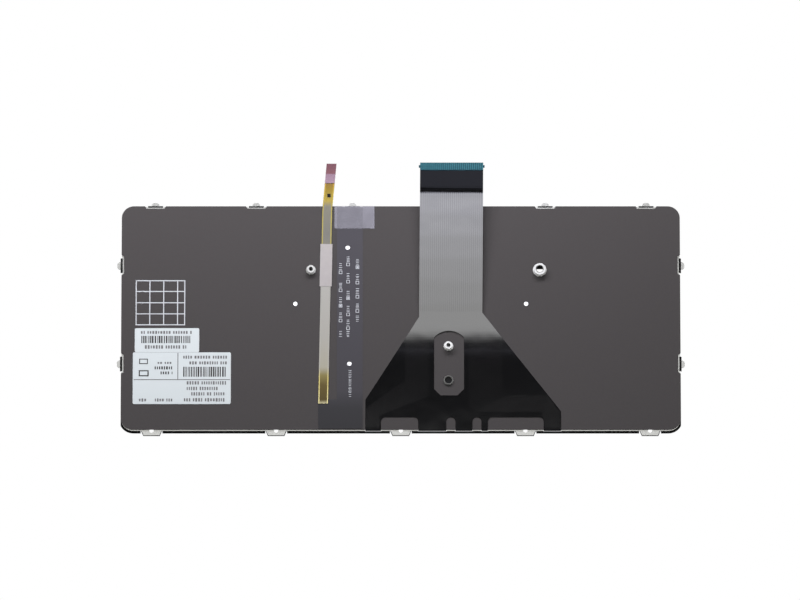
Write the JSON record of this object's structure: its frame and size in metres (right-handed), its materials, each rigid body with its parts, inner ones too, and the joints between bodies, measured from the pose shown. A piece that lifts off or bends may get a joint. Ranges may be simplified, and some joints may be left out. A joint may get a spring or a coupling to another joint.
{
  "type": "laptop keyboard",
  "caption": "Backlit laptop keyboard module lying key side down: sprung keycaps on a stamped metal plate with hook tabs, a black back film, a folded flat tail, a ribbon cable and paper labels.",
  "frame": {"origin": "middle of the footprint, flat cable ends included, on the plane of the key tops that it lies on", "axes": "+X along the key rows as seen from the back, +Y towards the function row and the free cable ends, +Z out of the back"},
  "size_m": [0.2862, 0.142, 0.01],
  "materials": {
    "keycap": "fine matt black",
    "dome": "translucent grey silicone",
    "link": "satin grey",
    "wire": "drawn wire",
    "membrane": "gloss black film",
    "teal_stiffener": "satin teal",
    "plate": "bright stamped sheet",
    "light_guide": "clear film",
    "reflector": "white film",
    "back_film": "satin black film",
    "boss": "bright turned",
    "flex": "satin dark grey",
    "diode": "cream",
    "tape": "clear tape",
    "ribbon": "silvery conductors under clear film",
    "wrap": "pale tape",
    "ribbon_end": "dark red film",
    "label": "white paper"
  },
  "bodies": {
    "keyboard": {"back_film": "back_film", "backlight_flex": "flex", "backlight_ribbon": "ribbon", "base_plate": "plate", "fixed_keycaps": "keycap", "holding_tape": "tape", "light_diodes": "diode", "light_guide": "light_guide", "lower_label": "label", "membrane": "membrane", "reflector_sheet": "reflector", "ribbon_stiffener": "ribbon_end", "ribbon_wrap": "wrap", "rubber_domes": "dome", "scissor_inner_links": "link", "scissor_outer_links": "link", "tail_stiffener": "teal_stiffener", "threaded_bosses": "boss", "upper_label": "label"},
    "key_a": {"key_a": "keycap"},
    "key_b": {"key_b": "keycap"},
    "key_backslash": {"key_backslash": "keycap"},
    "key_c": {"key_c": "keycap"},
    "key_caps": {"key_caps": "keycap"},
    "key_comma": {"key_comma": "keycap"},
    "key_d": {"key_d": "keycap"},
    "key_e": {"key_e": "keycap"},
    "key_enter": {"key_enter": "keycap"},
    "key_f": {"key_f": "keycap"},
    "key_g": {"key_g": "keycap"},
    "key_h": {"key_h": "keycap"},
    "key_i": {"key_i": "keycap"},
    "key_j": {"key_j": "keycap"},
    "key_k": {"key_k": "keycap"},
    "key_l": {"key_l": "keycap"},
    "key_left_bracket": {"key_left_bracket": "keycap"},
    "key_left_shift": {"key_left_shift": "keycap"},
    "key_m": {"key_m": "keycap"},
    "key_n": {"key_n": "keycap"},
    "key_o": {"key_o": "keycap"},
    "key_p": {"key_p": "keycap"},
    "key_q": {"key_q": "keycap"},
    "key_quote": {"key_quote": "keycap"},
    "key_r": {"key_r": "keycap"},
    "key_right_bracket": {"key_right_bracket": "keycap"},
    "key_right_shift": {"key_right_shift": "keycap"},
    "key_s": {"key_s": "keycap"},
    "key_semicolon": {"key_semicolon": "keycap"},
    "key_slash": {"key_slash": "keycap"},
    "key_space": {"key_space": "keycap"},
    "key_stop": {"key_stop": "keycap"},
    "key_t": {"key_t": "keycap"},
    "key_tab": {"key_tab": "keycap"},
    "key_u": {"key_u": "keycap"},
    "key_v": {"key_v": "keycap"},
    "key_w": {"key_w": "keycap"},
    "key_x": {"key_x": "keycap"},
    "key_y": {"key_y": "keycap"},
    "key_z": {"key_z": "keycap"},
    "space_wire": {"stabiliser_wire": "wire"}
  },
  "joints": [
    {"name": "press_a", "type": "slide", "parent": "keyboard", "child": "key_a", "axis": [0, 0, 1], "range_m": [0, 0.0015], "stiffness_N_per_m": 350, "springref_m": -0.0003, "deforming": ["rubber_domes", "scissor_outer_links", "scissor_inner_links"]},
    {"name": "press_b", "type": "slide", "parent": "keyboard", "child": "key_b", "axis": [0, 0, 1], "range_m": [0, 0.0015], "stiffness_N_per_m": 350, "springref_m": -0.0003, "deforming": ["rubber_domes", "scissor_outer_links", "scissor_inner_links"]},
    {"name": "press_backslash", "type": "slide", "parent": "keyboard", "child": "key_backslash", "axis": [0, 0, 1], "range_m": [0, 0.0015], "stiffness_N_per_m": 350, "springref_m": -0.0003, "deforming": ["rubber_domes", "scissor_outer_links", "scissor_inner_links"]},
    {"name": "press_c", "type": "slide", "parent": "keyboard", "child": "key_c", "axis": [0, 0, 1], "range_m": [0, 0.0015], "stiffness_N_per_m": 350, "springref_m": -0.0003, "deforming": ["rubber_domes", "scissor_outer_links", "scissor_inner_links"]},
    {"name": "press_caps", "type": "slide", "parent": "keyboard", "child": "key_caps", "axis": [0, 0, 1], "range_m": [0, 0.0015], "stiffness_N_per_m": 350, "springref_m": -0.0003, "deforming": ["rubber_domes", "scissor_outer_links", "scissor_inner_links"]},
    {"name": "press_comma", "type": "slide", "parent": "keyboard", "child": "key_comma", "axis": [0, 0, 1], "range_m": [0, 0.0015], "stiffness_N_per_m": 350, "springref_m": -0.0003, "deforming": ["rubber_domes", "scissor_outer_links", "scissor_inner_links"]},
    {"name": "press_d", "type": "slide", "parent": "keyboard", "child": "key_d", "axis": [0, 0, 1], "range_m": [0, 0.0015], "stiffness_N_per_m": 350, "springref_m": -0.0003, "deforming": ["rubber_domes", "scissor_outer_links", "scissor_inner_links"]},
    {"name": "press_e", "type": "slide", "parent": "keyboard", "child": "key_e", "axis": [0, 0, 1], "range_m": [0, 0.0015], "stiffness_N_per_m": 350, "springref_m": -0.0003, "deforming": ["rubber_domes", "scissor_outer_links", "scissor_inner_links"]},
    {"name": "press_enter", "type": "slide", "parent": "keyboard", "child": "key_enter", "axis": [0, 0, 1], "range_m": [0, 0.0015], "stiffness_N_per_m": 350, "springref_m": -0.0003, "deforming": ["rubber_domes", "scissor_outer_links", "scissor_inner_links"]},
    {"name": "press_f", "type": "slide", "parent": "keyboard", "child": "key_f", "axis": [0, 0, 1], "range_m": [0, 0.0015], "stiffness_N_per_m": 350, "springref_m": -0.0003, "deforming": ["rubber_domes", "scissor_outer_links", "scissor_inner_links"]},
    {"name": "press_g", "type": "slide", "parent": "keyboard", "child": "key_g", "axis": [0, 0, 1], "range_m": [0, 0.0015], "stiffness_N_per_m": 350, "springref_m": -0.0003, "deforming": ["rubber_domes", "scissor_outer_links", "scissor_inner_links"]},
    {"name": "press_h", "type": "slide", "parent": "keyboard", "child": "key_h", "axis": [0, 0, 1], "range_m": [0, 0.0015], "stiffness_N_per_m": 350, "springref_m": -0.0003, "deforming": ["rubber_domes", "scissor_outer_links", "scissor_inner_links"]},
    {"name": "press_i", "type": "slide", "parent": "keyboard", "child": "key_i", "axis": [0, 0, 1], "range_m": [0, 0.0015], "stiffness_N_per_m": 350, "springref_m": -0.0003, "deforming": ["rubber_domes", "scissor_outer_links", "scissor_inner_links"]},
    {"name": "press_j", "type": "slide", "parent": "keyboard", "child": "key_j", "axis": [0, 0, 1], "range_m": [0, 0.0015], "stiffness_N_per_m": 350, "springref_m": -0.0003, "deforming": ["rubber_domes", "scissor_outer_links", "scissor_inner_links"]},
    {"name": "press_k", "type": "slide", "parent": "keyboard", "child": "key_k", "axis": [0, 0, 1], "range_m": [0, 0.0015], "stiffness_N_per_m": 350, "springref_m": -0.0003, "deforming": ["rubber_domes", "scissor_outer_links", "scissor_inner_links"]},
    {"name": "press_l", "type": "slide", "parent": "keyboard", "child": "key_l", "axis": [0, 0, 1], "range_m": [0, 0.0015], "stiffness_N_per_m": 350, "springref_m": -0.0003, "deforming": ["rubber_domes", "scissor_outer_links", "scissor_inner_links"]},
    {"name": "press_left_bracket", "type": "slide", "parent": "keyboard", "child": "key_left_bracket", "axis": [0, 0, 1], "range_m": [0, 0.0015], "stiffness_N_per_m": 350, "springref_m": -0.0003, "deforming": ["rubber_domes", "scissor_outer_links", "scissor_inner_links"]},
    {"name": "press_left_shift", "type": "slide", "parent": "keyboard", "child": "key_left_shift", "axis": [0, 0, 1], "range_m": [0, 0.0015], "stiffness_N_per_m": 350, "springref_m": -0.0003, "deforming": ["rubber_domes", "scissor_outer_links", "scissor_inner_links"]},
    {"name": "press_m", "type": "slide", "parent": "keyboard", "child": "key_m", "axis": [0, 0, 1], "range_m": [0, 0.0015], "stiffness_N_per_m": 350, "springref_m": -0.0003, "deforming": ["rubber_domes", "scissor_outer_links", "scissor_inner_links"]},
    {"name": "press_n", "type": "slide", "parent": "keyboard", "child": "key_n", "axis": [0, 0, 1], "range_m": [0, 0.0015], "stiffness_N_per_m": 350, "springref_m": -0.0003, "deforming": ["rubber_domes", "scissor_outer_links", "scissor_inner_links"]},
    {"name": "press_o", "type": "slide", "parent": "keyboard", "child": "key_o", "axis": [0, 0, 1], "range_m": [0, 0.0015], "stiffness_N_per_m": 350, "springref_m": -0.0003, "deforming": ["rubber_domes", "scissor_outer_links", "scissor_inner_links"]},
    {"name": "press_p", "type": "slide", "parent": "keyboard", "child": "key_p", "axis": [0, 0, 1], "range_m": [0, 0.0015], "stiffness_N_per_m": 350, "springref_m": -0.0003, "deforming": ["rubber_domes", "scissor_outer_links", "scissor_inner_links"]},
    {"name": "press_q", "type": "slide", "parent": "keyboard", "child": "key_q", "axis": [0, 0, 1], "range_m": [0, 0.0015], "stiffness_N_per_m": 350, "springref_m": -0.0003, "deforming": ["rubber_domes", "scissor_outer_links", "scissor_inner_links"]},
    {"name": "press_quote", "type": "slide", "parent": "keyboard", "child": "key_quote", "axis": [0, 0, 1], "range_m": [0, 0.0015], "stiffness_N_per_m": 350, "springref_m": -0.0003, "deforming": ["rubber_domes", "scissor_outer_links", "scissor_inner_links"]},
    {"name": "press_r", "type": "slide", "parent": "keyboard", "child": "key_r", "axis": [0, 0, 1], "range_m": [0, 0.0015], "stiffness_N_per_m": 350, "springref_m": -0.0003, "deforming": ["rubber_domes", "scissor_outer_links", "scissor_inner_links"]},
    {"name": "press_right_bracket", "type": "slide", "parent": "keyboard", "child": "key_right_bracket", "axis": [0, 0, 1], "range_m": [0, 0.0015], "stiffness_N_per_m": 350, "springref_m": -0.0003, "deforming": ["rubber_domes", "scissor_outer_links", "scissor_inner_links"]},
    {"name": "press_right_shift", "type": "slide", "parent": "keyboard", "child": "key_right_shift", "axis": [0, 0, 1], "range_m": [0, 0.0015], "stiffness_N_per_m": 350, "springref_m": -0.0003, "deforming": ["rubber_domes", "scissor_outer_links", "scissor_inner_links"]},
    {"name": "press_s", "type": "slide", "parent": "keyboard", "child": "key_s", "axis": [0, 0, 1], "range_m": [0, 0.0015], "stiffness_N_per_m": 350, "springref_m": -0.0003, "deforming": ["rubber_domes", "scissor_outer_links", "scissor_inner_links"]},
    {"name": "press_semicolon", "type": "slide", "parent": "keyboard", "child": "key_semicolon", "axis": [0, 0, 1], "range_m": [0, 0.0015], "stiffness_N_per_m": 350, "springref_m": -0.0003, "deforming": ["rubber_domes", "scissor_outer_links", "scissor_inner_links"]},
    {"name": "press_slash", "type": "slide", "parent": "keyboard", "child": "key_slash", "axis": [0, 0, 1], "range_m": [0, 0.0015], "stiffness_N_per_m": 350, "springref_m": -0.0003, "deforming": ["rubber_domes", "scissor_outer_links", "scissor_inner_links"]},
    {"name": "press_space", "type": "slide", "parent": "keyboard", "child": "key_space", "axis": [0, 0, 1], "range_m": [0, 0.0015], "stiffness_N_per_m": 350, "springref_m": -0.0003, "deforming": ["rubber_domes", "scissor_outer_links", "scissor_inner_links"]},
    {"name": "press_stop", "type": "slide", "parent": "keyboard", "child": "key_stop", "axis": [0, 0, 1], "range_m": [0, 0.0015], "stiffness_N_per_m": 350, "springref_m": -0.0003, "deforming": ["rubber_domes", "scissor_outer_links", "scissor_inner_links"]},
    {"name": "press_t", "type": "slide", "parent": "keyboard", "child": "key_t", "axis": [0, 0, 1], "range_m": [0, 0.0015], "stiffness_N_per_m": 350, "springref_m": -0.0003, "deforming": ["rubber_domes", "scissor_outer_links", "scissor_inner_links"]},
    {"name": "press_tab", "type": "slide", "parent": "keyboard", "child": "key_tab", "axis": [0, 0, 1], "range_m": [0, 0.0015], "stiffness_N_per_m": 350, "springref_m": -0.0003, "deforming": ["rubber_domes", "scissor_outer_links", "scissor_inner_links"]},
    {"name": "press_u", "type": "slide", "parent": "keyboard", "child": "key_u", "axis": [0, 0, 1], "range_m": [0, 0.0015], "stiffness_N_per_m": 350, "springref_m": -0.0003, "deforming": ["rubber_domes", "scissor_outer_links", "scissor_inner_links"]},
    {"name": "press_v", "type": "slide", "parent": "keyboard", "child": "key_v", "axis": [0, 0, 1], "range_m": [0, 0.0015], "stiffness_N_per_m": 350, "springref_m": -0.0003, "deforming": ["rubber_domes", "scissor_outer_links", "scissor_inner_links"]},
    {"name": "press_w", "type": "slide", "parent": "keyboard", "child": "key_w", "axis": [0, 0, 1], "range_m": [0, 0.0015], "stiffness_N_per_m": 350, "springref_m": -0.0003, "deforming": ["rubber_domes", "scissor_outer_links", "scissor_inner_links"]},
    {"name": "press_x", "type": "slide", "parent": "keyboard", "child": "key_x", "axis": [0, 0, 1], "range_m": [0, 0.0015], "stiffness_N_per_m": 350, "springref_m": -0.0003, "deforming": ["rubber_domes", "scissor_outer_links", "scissor_inner_links"]},
    {"name": "press_y", "type": "slide", "parent": "keyboard", "child": "key_y", "axis": [0, 0, 1], "range_m": [0, 0.0015], "stiffness_N_per_m": 350, "springref_m": -0.0003, "deforming": ["rubber_domes", "scissor_outer_links", "scissor_inner_links"]},
    {"name": "press_z", "type": "slide", "parent": "keyboard", "child": "key_z", "axis": [0, 0, 1], "range_m": [0, 0.0015], "stiffness_N_per_m": 350, "springref_m": -0.0003, "deforming": ["rubber_domes", "scissor_outer_links", "scissor_inner_links"]},
    {"name": "wire_turn", "type": "hinge", "parent": "keyboard", "child": "space_wire", "pos_m": [0.00701, -0.04855, 0.0033], "axis": [-1, 0, 0], "range_deg": [0, 17.5]}
  ],
  "couplings": [
    {"joint": "wire_turn", "follows": "press_space", "rad_per_m": 196.76}
  ]
}
